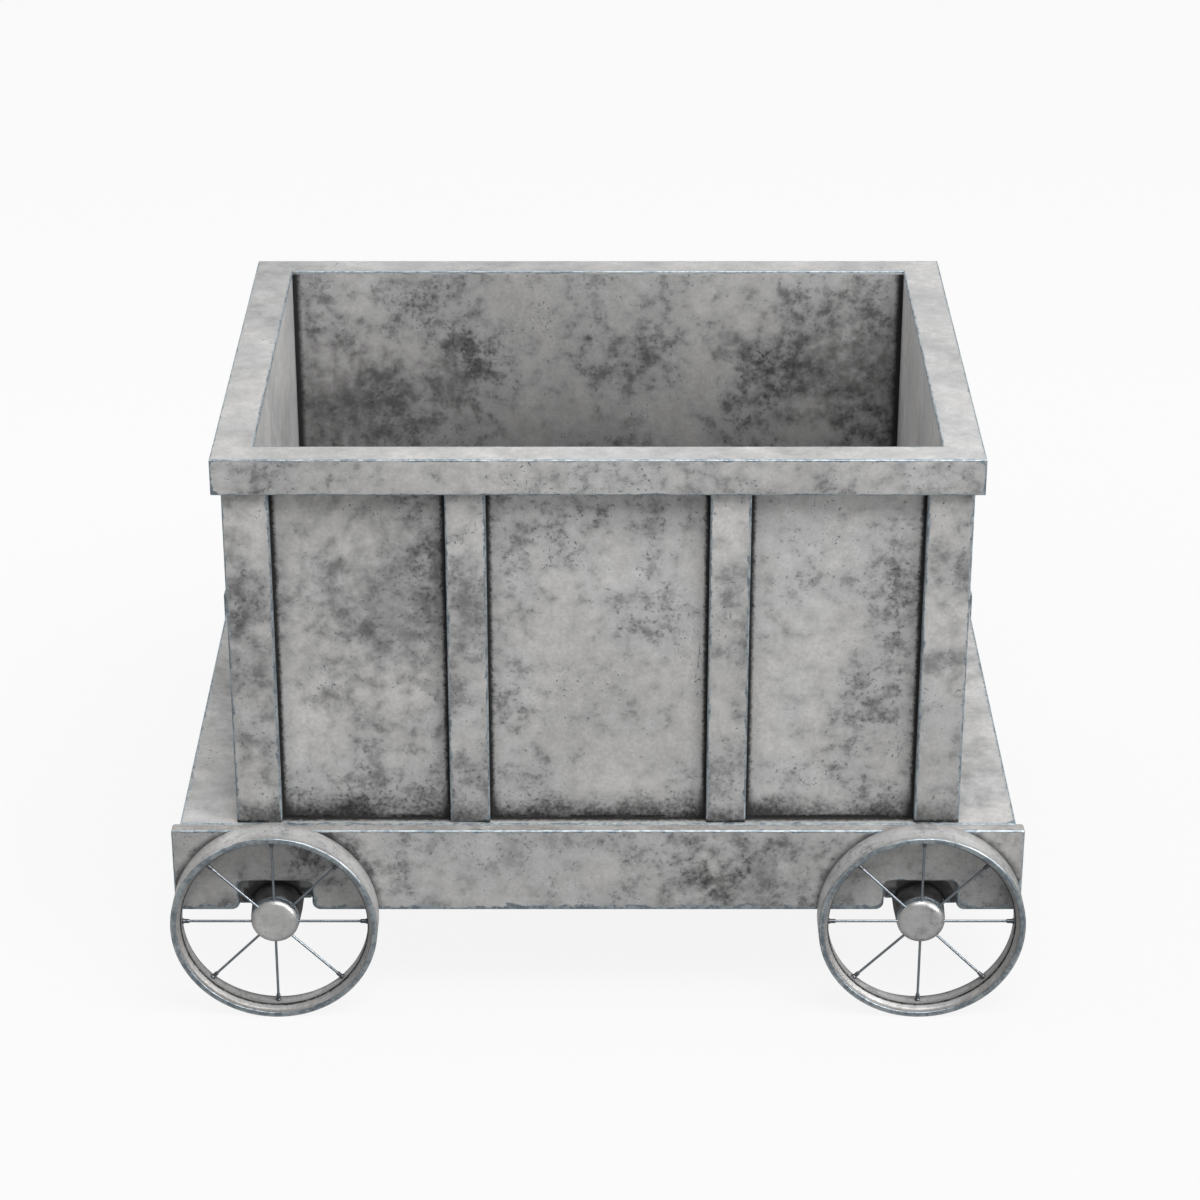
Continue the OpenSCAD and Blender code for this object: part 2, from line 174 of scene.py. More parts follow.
def floor_material():
    """A dull pale sheet whose glow evens out the key lamp's light."""
    material = bpy.data.materials.new("floor")
    material.use_nodes = True
    tree = material.node_tree
    shader = tree.nodes["Principled BSDF"]
    shader.inputs["Base Color"].default_value = (FLOOR_SHADE, FLOOR_SHADE, FLOOR_SHADE, 1.0)
    shader.inputs["Roughness"].default_value = 1.0
    shader.inputs["Specular IOR Level"].default_value = 0.0
    shader.inputs["Emission Color"].default_value = (1.0, 1.0, 1.0, 1.0)
    away = tree.nodes.new("ShaderNodeVectorMath")
    away.operation = "DISTANCE"
    away.inputs[1].default_value = GLOW_CENTRE
    tree.links.new(tree.nodes.new("ShaderNodeTexCoord").outputs["Object"], away.inputs[0])
    even = ramp_node(
        tree, away.outputs["Value"], GLOW_NEAR, GLOW_FAR, FLOOR_GLOW, FLOOR_FAR_GLOW, "SMOOTHSTEP"
    )
    seen = tree.nodes.new("ShaderNodeLightPath").outputs["Is Camera Ray"]
    glow = ramp_node(tree, seen, 0.0, 1.0, FLOOR_BOUNCE, 1.0)
    tree.links.new(even.outputs[0], glow.inputs["To Max"])
    tree.links.new(glow.outputs[0], shader.inputs["Emission Strength"])
    return material


def make_floor():
    """A wide pale floor that glows evenly and takes a faint shadow."""
    mesh = bpy.data.meshes.new("floor")
    corners = [(x * FLOOR_HALF, y * FLOOR_HALF, 0.0) for x, y in ((-1, -1), (1, -1), (1, 1), (-1, 1))]
    mesh.from_pydata(corners, [], [(0, 1, 2, 3)])
    mesh.materials.append(floor_material())
    floor = bpy.data.objects.new("floor", mesh)
    bpy.context.scene.collection.objects.link(floor)


def make_studio():
    bpy.context.scene.view_settings.view_transform = "Standard"
    make_world()
    make_floor()
    lamps = {name: area_light(name, *settings) for name, settings in LAMPS.items()}
    lamps["gleam"].visible_diffuse = False


# ----- node graphs -----


class Graph:
    """A material with a Principled shader, and short names for the nodes that feed it."""

    def __init__(self, name):
        self.material = bpy.data.materials.new(name)
        self.material.use_nodes = True
        self.tree = self.material.node_tree
        self.shader = self.tree.nodes["Principled BSDF"]
        self.place = self.node("TexCoord").outputs["Object"]

    def node(self, kind, values=None, **settings):
        made = self.tree.nodes.new("ShaderNode" + kind)
        for key, value in settings.items():
            setattr(made, key, value)
        for socket, value in (values or {}).items():
            self.feed(made.inputs[socket], value)
        return made

    def feed(self, socket, value):
        if isinstance(value, bpy.types.NodeSocket):
            self.tree.links.new(value, socket)
        else:
            socket.default_value = value

    def finish(self, **sockets):
        """Feeds the shader's sockets, such as Base_Color, and returns the material."""
        for name, value in sockets.items():
            self.feed(self.shader.inputs[name.replace("_", " ")], value)
        return self.material

    # Sums

    def calc(self, operation, a, b=0.0, clamp=False):
        return self.node("Math", {0: a, 1: b}, operation=operation, use_clamp=clamp).outputs[0]

    def plus(self, a, b):
        return self.calc("ADD", a, b)

    def minus(self, a, b):
        return self.calc("SUBTRACT", a, b)

    def times(self, a, b, clamp=False):
        return self.calc("MULTIPLY", a, b, clamp)

    def most(self, a, b):
        return self.calc("MAXIMUM", a, b)

    def kept(self, mask):
        """What a mask leaves."""
        return self.minus(1.0, mask)

    def swing(self, noise, reach):
        """How far a noise is from its middle, times reach."""
        return self.times(self.minus(noise, 0.5), reach)

    def blend(self, base, extra, weight):
        """base with the swing of extra about its middle added."""
        return self.plus(base, self.swing(extra, weight))

    def between(self, factor, a, b):
        """The number a where factor is 0 and b where it is 1."""
        return self.node("Mix", {0: factor, 2: a, 3: b}).outputs[0]

    def ramp(self, value, low, high, to_low=0.0, to_high=1.0):
        """A smooth step from to_low to to_high as value goes from low to high."""
        values = {"Value": value, "From Min": low, "From Max": high, "To Min": to_low, "To Max": to_high}
        return self.node("MapRange", values, interpolation_type="SMOOTHSTEP").outputs[0]

    # Places and patterns

    def split(self, vector):
        return self.node("SeparateXYZ", {0: vector}).outputs

    def moved(self, offset, stretch=(1.0, 1.0, 1.0)):
        values = {"Vector": self.place, "Location": offset, "Scale": stretch}
        return self.node("Mapping", values).outputs[0]

    def noise(self, scale, detail=3.0, roughness=0.55, where=None, distortion=0.0):
        values = {
            "Vector": self.place if where is None else where,
            "Scale": scale,
            "Detail": detail,
            "Roughness": roughness,
            "Distortion": distortion,
        }
        return self.node("TexNoise", values).outputs["Fac"]

    def axle_distance(self):
        """How far a point is from the line of the nearest axle."""
        axes = self.split(self.place)
        along = self.minus(self.calc("ABSOLUTE", axes["X"]), AXLE.x)
        up = self.minus(axes["Z"], AXLE.z)
        return self.calc("SQRT", self.plus(self.times(along, along), self.times(up, up)))

    def field(self, name):
        """One of the measures that the meshes carry."""
        return self.node("Attribute", attribute_name=name).outputs["Fac"]

    # Colours and relief

    def mix(self, factor, a, b):
        """The colour a where factor is 0 and b where it is 1."""
        return self.node("Mix", {0: factor, 6: a, 7: b}, data_type="RGBA").outputs[2]

    def bump(self, height, distance, strength, under=None):
        values = {"Height": height, "Distance": distance, "Strength": strength}
        if under is not None:
            values["Normal"] = under
        return self.node("Bump", values).outputs["Normal"]


def grey(value, warm=0.0):
    """A near-neutral colour. A positive warm leans to brown and a negative one to blue."""
    return (value * (1 + warm), value, value * (1 - warm), 1.0)


# ----- aged zinc -----

# A zinc material's looks and their defaults
ZINC = {
    "blotches": 1.0,  # strength of the soft dark mottling
    "smudges": 0.5,  # strength of the wide dark smudges
    "calm_top": 0.55,  # how much of the mottling is left on faces that look up
    "painted_top_light": 1.0,  # painted light: how much lighter or darker those faces are
    "stains_and_shade": (),  # dark stains at given places, some broad ones painted shade
    "inside": None,  # painted light and shade in the tub: gains at the long sides' foot, their top, and the end walls
    "line": 11 * MM,  # width of the black line in a corner, grime and painted shade
    "halo": 0.20,  # strength and reach of the painted shade about that line
    "halo_reach": 28 * MM,
    "foot_darkening": 0.0,  # strength of the darkening just above the deck
    "corner_darkening": 0.0,  # strength of the wedge where a post's foot meets a wall
    "painted_wheel_shadow": 0.0,  # strength of the painted shadow on the beam round a wheel
    "grime_and_shade": 1.0,  # gain of all that dirt and painted shade
    "wear": 1.0,  # width of the bare line along the edges
    "tan": 0.0,  # strength of the brown rub marks beside the edges
    "top_tan": 0.0,  # or along the beam's top
    "shine": 0.22,  # how metallic the zinc is
    "roughness": 0.50,
}
# Near black, for grime and for painted shade
GRIME_AND_SHADE = grey(0.012)
CHIP_BLUE = (0.085, 0.115, 0.135, 1.0)
BARE_DARK = (0.21, 0.26, 0.30, 1.0)
BARE_LIGHT = (0.44, 0.50, 0.53, 1.0)
TAN = (0.235, 0.216, 0.194, 1.0)
CALM_END = 0.25  # how much of the mottling is left on the tub's inner end walls
SPOT_DEPTH = 50 * MM
SPOT_RAGGED = 3.6
LINE_GRAIN, LINE_FINE = 8 * MM, 5 * MM  # how ragged the black line is
HAZE_RAGGED = 45 * MM
FOOT_RISE, FOOT_GRAIN = 90 * MM, 60 * MM  # how far the foot dirt climbs in places, and how ragged it is
WEDGE_RAGGED = 45 * MM
WHEEL_SHADOW_RAGGED = 22 * MM
EDGE_LEAST, EDGE_MOST, EDGE_SOFT = 1.6 * MM, 7.5 * MM, 0.6 * MM  # the bare line's width and softness


class AgedZinc(Graph):
    """Aged galvanised steel: cloudy grey with soft blotches, blue-grey bare edges and black grime, with
    painted light and shade: lighter or darker tops, shade in corners and round the wheels, and gains in the
    tub.

    looks overrides ZINC, and offset moves the pattern so that no two materials share it.
    """

    def __init__(self, name, tone, offset, **looks):
        super().__init__(name)
        self.tone, self.looks, self.offset = tone, {**ZINC, **looks}, offset
        self.where = self.moved(offset)
        self.cloud = self.noise(4.6, 3.0, 0.55, self.where, 0.3)
        self.patch = self.noise(10.0, 3.0, 0.5, self.shifted(3.7), 0.2)
        self.blotch = self.noise(38.0, 8.0, 0.60, self.where, 0.1)
        self.grain = self.noise(160.0, 5.0, 0.66, self.where)
        self.fine = self.noise(620.0, 2.0, 0.6, self.where)
        self.gathered = self.blend(self.blotch, self.patch, 0.52)
        self.speckled = self.blend(self.gathered, self.grain, 0.40)
        self.axes = self.split(self.place)
        self.away_x = self.calc("ABSOLUTE", self.axes["X"])
        self.away_y = self.calc("ABSOLUTE", self.axes["Y"])
        self.above = self.minus(self.axes["Z"], DECK_TOP)
        facing = self.split(self.node("TexCoord").outputs["Normal"])
        self.up = self.ramp(facing["Z"], 0.5, 0.9)
        self.within = self.times(
            self.calc("LESS_THAN", self.away_x, WALL_INSIDE.x + NEAR),
            self.calc("LESS_THAN", self.away_y, WALL_INSIDE.y + NEAR),
        )
        self.at_end = self.calc("GREATER_THAN", self.away_x, WALL_INSIDE.x - NEAR)
        self.chips = self.chip_mask()
        self.gap = self.times(self.field("gap"), self.kept(self.times(self.within, 0.35)))
        self.line = self.line_mask()
        self.dirt_and_shade = self.dirt_and_shade_mask()
        self.bare = self.bare_mask()

    def shifted(self, by):
        return self.moved([v + by for v in self.offset])

    # The zinc itself

    def calmness(self):
        """How much of the mottling shows: less on faces that look up and on the tub's inner ends."""
        calm = self.between(self.up, 1.0, self.looks["calm_top"])
        inner_end = self.times(self.within, self.at_end)
        return self.times(calm, self.between(inner_end, 1.0, CALM_END))

    def stain_and_shade_mask(self):
        """Ragged dark stains, and broad patches of painted shade, placed as fractions of a node's box."""
        stains_and_shade = 0.0
        for node, along, up, width, height, strength in self.looks["stains_and_shade"]:
            low, high = BOXES[node]
            x, z = low.x + along * (high.x - low.x), low.z + up * (high.z - low.z)
            centre = Vector((x, (low.y + high.y) / 2, z))
            size = Vector((width * MM / 2, SPOT_DEPTH, height * MM / 2))
            spot = self.moved([-c / s for c, s in zip(centre, size)], [1 / s for s in size])
            distance = self.node("VectorMath", {0: spot}, operation="LENGTH").outputs["Value"]
            ragged = self.minus(distance, self.swing(self.speckled, SPOT_RAGGED))
            stains_and_shade = self.most(stains_and_shade, self.ramp(ragged, 0.0, 1.6, strength, 0.0))
        return stains_and_shade

    def mottling(self):
        """The masks that darken the zinc: blotches, smudges, specks, and stains that include broad painted
        shade.
        """
        blotches = self.looks["blotches"]
        amount = self.ramp(self.cloud, 0.36, 0.62, 0.44 * blotches, 0.27 * blotches)
        smudges = self.blend(self.noise(3.4, 2.0, 0.5, self.shifted(-5.1)), self.speckled, 0.50)
        return [
            self.times(self.ramp(self.speckled, 0.46, 0.71), amount),
            self.ramp(smudges, 0.53, 0.83, 0.0, self.looks["smudges"]),
            self.ramp(self.blend(self.grain, self.patch, 0.35), 0.57, 0.72, 0.0, 0.46 * blotches),
            self.stain_and_shade_mask(),
        ]

    def mottled_shade(self):
        """A gain about 1: light and dark clouds, the mottling, pale patches, painted light on faces that
        look up, and grain.
        """
        shade = self.ramp(self.cloud, 0.30, 0.70, 0.87, 1.11)
        calm = self.calmness()
        for mask in self.mottling():
            shade = self.times(shade, self.kept(self.times(mask, calm)))
        pale = self.ramp(self.gathered, 0.50, 0.30, 0.0, 0.12 * self.looks["blotches"])
        gains = [
            self.plus(1.0, pale),
            # painted light: faces that look up are made lighter or darker
            self.between(self.up, 1.0, self.looks["painted_top_light"]),
            self.ramp(self.grain, 0.3, 0.7, 0.90, 1.10),
            self.ramp(self.fine, 0.3, 0.7, 0.955, 1.045),
        ]
        for gain in gains:
            shade = self.times(shade, gain)
        return shade

    def zinc_colour(self):
        shade = self.mottled_shade()
        # Painted light and shade in the tub: the long sides darker at the foot and lighter up top, the end
        # walls lighter
        if self.looks["inside"]:
            foot, top, end = self.looks["inside"]
            long_side = self.ramp(self.axes["Z"], DECK_TOP + 170 * MM, RAIL_BOTTOM + 10 * MM, foot, top)
            gain = self.between(self.at_end, long_side, end)
            shade = self.times(shade, self.between(self.within, 1.0, gain))
        tint = self.mix(self.ramp(self.patch, 0.35, 0.65), grey(self.tone, 0.014), grey(self.tone, -0.002))
        return self.node("VectorMath", {0: tint, "Scale": shade}, operation="SCALE").outputs[0]

    def chip_mask(self):
        """Small blue-grey chips, dots and short scratches, gathered in places."""
        area = self.noise(13.0, 2.0, 0.5, self.shifted(9.3))
        near = self.ramp(area, 0.60, 0.64)
        source = self.noise(230.0, 2.0, 0.5, self.where)
        chips = self.times(self.ramp(source, 0.655, 0.675), near, True)
        cells = self.node("TexVoronoi", {"Vector": self.where, "Scale": 60.0}).outputs["Distance"]
        dots = self.times(self.ramp(cells, 0.075, 0.045), self.ramp(area, 0.63, 0.70), True)
        lines = self.noise(42.0, 1.0, 0.5, self.moved(self.offset, (5.0, 5.0, 0.8)), 0.6)
        scratches = self.times(self.ramp(lines, 0.735, 0.745, 0.0, 0.8), near, True)
        return self.times(self.most(self.most(chips, dots), scratches), 0.8)

    # Grime and painted shade

    def line_mask(self):
        """The black line in a corner, grime and painted contact shade, partly rubbed off where it runs
        along the deck.
        """
        width = self.looks["line"]
        uneven = self.plus(self.times(self.grain, LINE_GRAIN), self.times(self.fine, LINE_FINE))
        swing = self.minus(uneven, (LINE_GRAIN + LINE_FINE) / 2)
        swing = self.times(swing, self.kept(self.times(self.within, 0.6)))
        swing = self.times(swing, width / ZINC["line"])
        line = self.ramp(self.minus(self.gap, swing), 0.25 * width, width, 1.0, 0.0)
        if self.looks["foot_darkening"]:
            rubbed = self.ramp(self.blend(self.patch, self.blotch, 0.6), 0.50, 0.62, 0.0, 0.5)
            foot = self.ramp(self.axes["Z"], DECK_TOP + 16 * MM, DECK_TOP + 24 * MM, 1.0, 0.0)
            line = self.times(line, self.kept(self.times(rubbed, foot)))
        return line

    def dirt_and_shade_mask(self):
        """The black line, the painted shade about it, the darkening at the foot and in corners, and the
        painted shadow round the wheels.
        """
        looks = self.looks
        haze = self.plus(self.gap, self.swing(self.speckled, HAZE_RAGGED))
        dirt_and_shade = self.most(self.line, self.ramp(haze, 0.0, looks["halo_reach"], looks["halo"], 0.0))
        more = {"foot_darkening": self.foot_darkening, "corner_darkening": self.corner_darkening, "painted_wheel_shadow": self.painted_wheel_shadow}
        for look, mask in more.items():
            if looks[look]:
                dirt_and_shade = self.most(dirt_and_shade, mask(looks[look]))
        return self.times(dirt_and_shade, looks["grime_and_shade"], True)

    def foot_darkening(self, strength):
        """Darkening that climbs unevenly from the deck."""
        rise = self.minus(self.noise(14.0, 7.0, 0.68, self.where), 0.42)
        height = self.minus(self.above, self.times(rise, FOOT_RISE))
        height = self.minus(height, self.swing(self.grain, FOOT_GRAIN))
        return self.ramp(height, -14 * MM, 46 * MM, strength, 0.0)

    def corner_darkening(self, strength):
        """A dark wedge where a post meets a wall just above the deck, widest at its foot."""
        reach = self.plus(self.times(self.field("post_gap"), 1.5), self.times(self.above, 0.5))
        reach = self.plus(reach, self.swing(self.speckled, WEDGE_RAGGED))
        return self.times(self.ramp(reach, 14 * MM, 52 * MM, strength, 0.0), self.kept(self.within))

    def painted_wheel_shadow(self, strength):
        """Painted shadow on the beam's face, in a ring close round each wheel's tread."""
        away = self.minus(self.axle_distance(), WHEEL_RADIUS)
        uneven = self.minus(away, self.swing(self.speckled, WHEEL_SHADOW_RAGGED))
        outer = self.ramp(uneven, -2 * MM, 13 * MM, 1.0, 0.0)
        shadow_ring = self.times(self.ramp(away, -12 * MM, -3 * MM), outer)
        face = self.calc("GREATER_THAN", self.away_y, BEAM_FACE - NEAR)
        return self.times(self.times(shadow_ring, face), strength)

    # Wear

    def bare_mask(self):
        """Bare metal along the edges, in a line of uneven width that stops at the black line in the
        corners.
        """
        nibble = self.noise(60.0, 5.0, 0.75, self.where)
        reach = self.ramp(nibble, 0.38, 0.80, EDGE_LEAST, EDGE_MOST * self.looks["wear"])
        bare = self.ramp(self.minus(self.field("edge"), reach), -EDGE_SOFT, EDGE_SOFT, 1.0, 0.0)
        return self.times(bare, self.kept(self.ramp(self.line, 0.3, 0.8)), True)

    def tan_mask(self):
        """Brown rub marks: along the beam's top, or beside the edges."""
        rub = self.ramp(self.noise(14.0, 6.0, 0.7, self.shifted(1.9)), 0.38, 0.60, 0.50, 1.0)
        rub = self.times(rub, self.ramp(self.grain, 0.36, 0.60, 1.0, 0.70))
        if self.looks["top_tan"]:
            inside = BEAM_INSIDE - NEAR
            out = self.ramp(self.away_y, inside, inside + 3 * MM, 0.0, self.looks["top_tan"])
            place = self.times(out, self.ramp(self.axes["Z"], DECK_TOP - 5 * MM, DECK_TOP - 1 * MM))
        else:
            place = self.ramp(self.field("edge"), 4 * MM, 13 * MM, self.looks["tan"], 0.0)
        return self.times(self.times(rub, place), self.kept(self.bare))

    def colour(self):
        """Zinc, then chips, grime and painted shade, bare metal and rub marks over it."""
        colour = self.mix(self.chips, self.zinc_colour(), CHIP_BLUE)
        colour = self.mix(self.dirt_and_shade, colour, GRIME_AND_SHADE)
        mottle = self.ramp(self.blend(self.grain, self.blotch, 0.9), 0.38, 0.64)
        colour = self.mix(self.times(self.bare, 0.94), colour, self.mix(mottle, BARE_DARK, BARE_LIGHT))
        return self.mix(self.tan_mask(), colour, TAN)

    def relief(self):
        """Soft waves, shallow pits, and a small step where the zinc is gone."""
        soft = self.bump(self.cloud, 1.6 * MM, 0.3)
        pits = self.bump(self.blend(self.blotch, self.grain, 0.5), 0.35 * MM, 0.3, soft)
        whole = self.kept(self.most(self.bare, self.chips))
        return self.bump(whole, 0.15 * MM, 0.5, pits)

    def finished(self):
        rough = self.minus(self.looks["roughness"], self.times(self.bare, 0.04))
        rough = self.plus(rough, self.times(self.dirt_and_shade, 0.3))
        return self.finish(
            Base_Color=self.colour(),
            Metallic=self.most(self.times(self.bare, 0.95), self.looks["shine"]),
            Roughness=self.blend(rough, self.speckled, 0.30),
            Normal=self.relief(),
        )


# ----- other metals -----


def wire_steel(name, tone):
    """Drawn wire: bright blue-grey steel with dull spots, and darker nipples at the rim."""
    g = Graph(name)
    dull = g.noise(120.0, 4.0, 0.6)
    wire = g.mix(g.ramp(dull, 0.46, 0.76), grey(tone, -0.10), grey(tone * 0.70, -0.10))
    at_nipple = g.ramp(g.axle_distance(), NIPPLE_FOOT - NEAR, NIPPLE_FOOT + NEAR)
    return g.finish(
        Base_Color=g.mix(at_nipple, wire, grey(tone * 0.48, -0.08)),
        Metallic=0.9,
        Roughness=g.ramp(dull, 0.3, 0.7, 0.33, 0.36),
        Normal=g.bump(g.noise(900.0, 2.0), 0.02 * MM, 0.08),
    )


def dark_casting(name, tone):
    """A rough dark iron casting with a film of oil and dust, and bare edges."""
    g = Graph(name)
    lump = g.noise(45.0, 5.0, 0.6)
    grit = g.noise(520.0, 3.0, 0.7)
    skin = g.mix(g.ramp(lump, 0.35, 0.65), grey(tone * 0.55), grey(tone * 1.35, 0.02))
    reach = g.ramp(lump, 0.35, 0.70, 0.4 * MM, 3.2 * MM)
    bare = g.ramp(g.minus(g.field("edge"), reach), -0.5 * MM, 0.8 * MM, 0.8, 0.0)
    return g.finish(
        Base_Color=g.mix(bare, skin, (0.20, 0.23, 0.25, 1.0)),
        Metallic=g.most(bare, 0.25),
        Roughness=g.ramp(lump, 0.3, 0.7, 0.48, 0.72),
        Normal=g.bump(grit, 0.25 * MM, 0.6, g.bump(lump, 1.2 * MM, 0.5)),
    )


def oiled_steel(name, tone, warm=0.0):
    """Turned steel or bronze with a stained, oily skin and fine turning rings."""
    g = Graph(name)
    stain = g.noise(38.0, 5.0, 0.65)
    rings = g.noise(40.0, 2.0, 0.5, g.moved((0.0, 0.0, 0.0), (1.0, 30.0, 1.0)))
    return g.finish(
        Base_Color=g.mix(g.ramp(stain, 0.36, 0.66), grey(tone, warm), grey(tone * 0.38, warm * 0.6)),
        Metallic=0.85,
        Roughness=g.ramp(stain, 0.3, 0.7, 0.30, 0.62),
        Normal=g.bump(rings, 0.12 * MM, 0.35),
    )


# ----- the record's materials -----

# Stains, and broad patches of painted shade, on the camera's side: node, how far along and up its box,
# width and height in mm, strength
BEAM_STAINS = [
    ("right_side_beam", 0.64, 0.42, 104, 74, 0.85),
    ("right_side_beam", 0.66, 0.40, 210, 130, 0.42),
]
WALL_STAINS_AND_SHADE = [
    # This broad faint patch is painted shade over the rear end of this wall
    ("right_wall", 0.20, 0.62, 360, 420, 0.36),
    ("right_wall", 0.285, 0.70, 62, 75, 0.68),
    ("right_wall", 0.135, 0.70, 70, 50, 0.50),
    ("right_wall", 0.125, 0.34, 90, 60, 0.55),
    ("left_wall", 0.27, 0.68, 110, 120, 0.60),
    ("left_wall", 0.10, 0.64, 260, 230, 0.52),
    ("left_wall", 0.88, 0.72, 300, 230, 0.55),
    ("left_wall", 0.71, 0.80, 80, 70, 0.50),
]
POST_STAINS_AND_SHADE = [
    ("rear_right_corner_post", 0.5, 0.63, 70, 120, 0.50),
    # This tall faint patch is painted shade over most of the post
    ("rear_right_corner_post", 0.5, 0.55, 150, 560, 0.36),
]

# Each zinc slot's tone, pattern offset and looks
ZINCS = {
    # The frame's tops are painted lighter, with a painted shadow round each wheel
    "frame_zinc": dict(
        tone=0.455, offset=(0.3, 0.1, 0.7), smudges=0.7, calm_top=0.4, painted_top_light=1.12,
        stains_and_shade=BEAM_STAINS, line=18 * MM, painted_wheel_shadow=0.7, top_tan=0.90,
    ),
    # The underframe's wide haze is painted shade round the bearing housings
    "under_zinc": dict(tone=0.27, offset=(2.3, 1.1, 0.2), smudges=0.7, halo=0.92, halo_reach=44 * MM),
    # The panels carry painted light and shade in the tub, and a broad stain of painted shade
    "panel_zinc": dict(
        tone=0.49, offset=(1.7, 4.1, 0.9), smudges=0.6, stains_and_shade=WALL_STAINS_AND_SHADE,
        inside=(0.38, 0.86, 1.26), foot_darkening=0.95, corner_darkening=0.97,
    ),
    "post_zinc": dict(
        tone=0.47, offset=(5.2, 2.4, 3.3), blotches=0.9, smudges=0.5, stains_and_shade=POST_STAINS_AND_SHADE, foot_darkening=0.80,
    ),
    # The rails' tops are painted a little darker
    "rail_zinc": dict(
        tone=0.435, offset=(8.1, 0.6, 2.2), blotches=1.15, smudges=0.2, calm_top=0.35, painted_top_light=0.92,
        grime_and_shade=0.6, wear=0.7,
    ),
    "rim_zinc": dict(
        tone=0.575, offset=(3.0, 7.0, 1.0), smudges=0.3, calm_top=1.0, line=4 * MM, halo=0.55,
        halo_reach=18 * MM, wear=0.35, tan=0.6, shine=0.38, roughness=0.37,
    ),
    "hub_zinc": dict(
        tone=0.52, offset=(6.0, 3.0, 5.0), blotches=0.8, smudges=0.1, calm_top=1.0, wear=0.45, tan=0.3,
        shine=0.45, roughness=0.36,
    ),
}


def make_materials():
    """One material for each slot of the record."""
    materials = {slot: AgedZinc(slot, **looks).finished() for slot, looks in ZINCS.items()}
    materials["housing_iron"] = dark_casting("housing_iron", 0.075)
    materials["bush_bronze"] = oiled_steel("bush_bronze", 0.42, 0.35)
    materials["fastener_steel"] = oiled_steel("fastener_steel", 0.24)
    materials["axle_steel"] = oiled_steel("axle_steel", 0.30)
    materials["spoke_steel"] = wire_steel("spoke_steel", 0.30)
    return materials


# ----- mesh helpers -----

STEP = 12 * MM  # the usual distance between mesh lines
LEAST_STEP = 4 * MM
BEHIND = 3 * MM  # a neighbour further than this behind a surface is left out
SMOOTH_BELOW = math.radians(52)
SHARP_ABOVE = math.radians(30)
FLAT_BELOW = math.radians(1.0)
WELD = 1e-6
FAR_OFF = 1.0  # moves an edge that shows no wear out of reach
TREES = {}


def finish_piece(name, points, faces, fields, nodes):
    """Makes a piece that stands for CAD nodes, with its fields as mesh attributes, and lets it ride."""
    mesh = bpy.data.meshes.new(name)
    mesh.from_pydata([tuple(p) for p in points], [], [tuple(int(i) for i in f) for f in faces])
    for field, values in fields.items():
        attribute = mesh.attributes.new(field, "FLOAT", "POINT")
        attribute.data.foreach_set("value", np.asarray(values, np.float32))
    mesh.shade_smooth()
    mesh.set_sharp_from_angle(angle=SMOOTH_BELOW)
    piece = bpy.data.objects.new(name, mesh)
    bpy.context.scene.collection.objects.link(piece)
    weighted = piece.modifiers.new("weighted_normals", "WEIGHTED_NORMAL")
    weighted.mode = "FACE_AREA_WITH_ANGLE"
    weighted.keep_sharp = True
    slot = SLOT_OF[nodes[0]]
    mesh.materials.append(MATERIALS[slot])
    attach(piece, BODY_OF[nodes[0]])
    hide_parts(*nodes)


def box_gap(low_a, high_a, low_b, high_b):
    """The distance between two boxes along their widest separated axis."""
    return max(max(low_a[k] - high_b[k], low_b[k] - high_a[k]) for k in range(3))


def close_to(node, neighbours, reach):
    """The neighbours whose boxes are within reach of the node's."""
    return [n for n in neighbours if n != node and box_gap(*BOXES[n], *BOXES[node]) < reach]


def tree_of(node):
    """A search tree over a CAD node's surface, made once."""
    if node not in TREES:
        mesh = frame["nodes"][node].data
        faces = [p.vertices for p in mesh.polygons]
        TREES[node] = BVHTree.FromPolygons([v.co for v in mesh.vertices], faces)
    return TREES[node]


def gap_field(points, normals, node, neighbours):
    """Each point's distance to the nearest close neighbour, but for what lies behind the surface."""
    gaps = np.full(len(points), GAP_REACH)
    for other in close_to(node, neighbours, GAP_REACH / 2):
        tree = tree_of(other)
        for i, p in enumerate(points):
            found, _, _, distance = tree.find_nearest(Vector(p), float(gaps[i]))
            if found is not None and normals[i] @ (np.array(found) - p) > -BEHIND:
                gaps[i] = min(gaps[i], distance)
    return gaps


def segment_distance(points, starts, ends):
    """Each point's distance to the nearest of some straight segments."""
    best = np.full(len(points), EDGE_REACH)
    for a, b in zip(starts, ends):
        along = b - a
        t = np.clip((points - a) @ along / max(float(along @ along), 1e-12), 0, 1)
        best = np.minimum(best, np.linalg.norm(points - a - t[:, None] * along, axis=1))
    return best


def cross_lines(node, neighbours, axis):
    """Places along an axis where a touching neighbour begins or ends, for lines of the mesh."""
    low, high = (corner[axis] for corner in BOXES[node])
    places = [BOXES[n][k][axis] for n in close_to(node, neighbours, NEAR) for k in (0, 1)]
    return [v for v in places if low + LEAST_STEP < v < high - LEAST_STEP]


# ----- rounded plates -----


def lattice_lines(low, high, radius, extra):
    """Lattice places along one axis: close together round the rounded edges, even between them."""
    bend = radius * (1 - math.tan(math.radians(22.5)))
    count = max(2, math.ceil((high - low - 2 * radius) / STEP) + 1)
    even = np.linspace(low + radius, high - radius, count)
    places = np.concatenate([[low, low + bend], even, extra, [high - bend, high]])
    return np.unique(np.round(places, 6))


